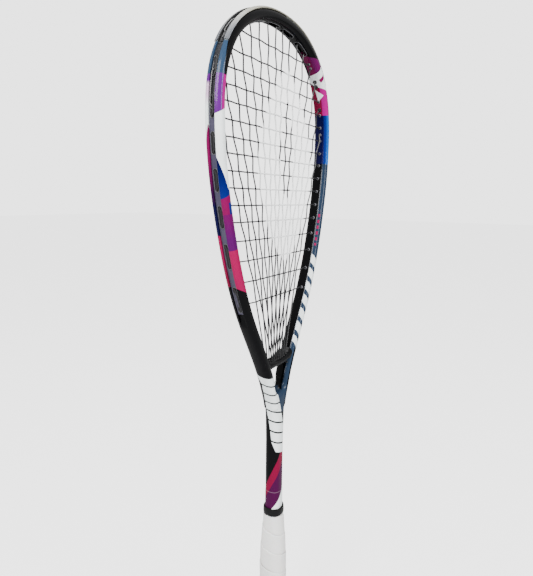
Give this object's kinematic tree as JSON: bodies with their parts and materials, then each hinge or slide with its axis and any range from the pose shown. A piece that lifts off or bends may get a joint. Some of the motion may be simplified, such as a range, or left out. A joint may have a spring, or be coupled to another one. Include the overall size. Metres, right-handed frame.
{
  "type": "squash racket",
  "caption": "Teardrop squash racket with a one-piece frame, open throat bridge, fan-strung bed, bumper guard and a white wrapped grip.",
  "frame": {"origin": "centre of the butt end's flat face", "axes": "+Z from the butt to the tip of the head, X across the head, Y square to the strings, -Y is the front face"},
  "size_m": [0.2082, 0.0306, 0.686],
  "materials": {
    "carbon_lacquer": "clear lacquer over colour bands",
    "pale_nylon": "pale translucent nylon",
    "grey_nylon": "satin nylon",
    "string_black": "smooth synthetic string",
    "handle_foam": "moulded foam",
    "cap_plastic": "satin",
    "badge_plastic": "gloss",
    "wrap_white": "soft cushioned synthetic leather",
    "tape_black": "matt adhesive tape",
    "collar_rubber": "glossy rubber"
  },
  "bodies": {
    "root": {"frame": "carbon_lacquer", "throat_bridge": "carbon_lacquer", "bumper_guard": "pale_nylon", "grommet_strip_left": "grey_nylon", "grommet_strip_right": "grey_nylon", "bridge_grommet_strip": "grey_nylon", "main_string": "string_black", "cross_string": "string_black", "handle_shell_front": "handle_foam", "handle_shell_back": "handle_foam", "butt_cap": "cap_plastic", "butt_badge": "badge_plastic", "grip_wrap": "wrap_white", "finishing_tape": "tape_black", "grip_collar": "collar_rubber"}
  },
  "joints": []
}
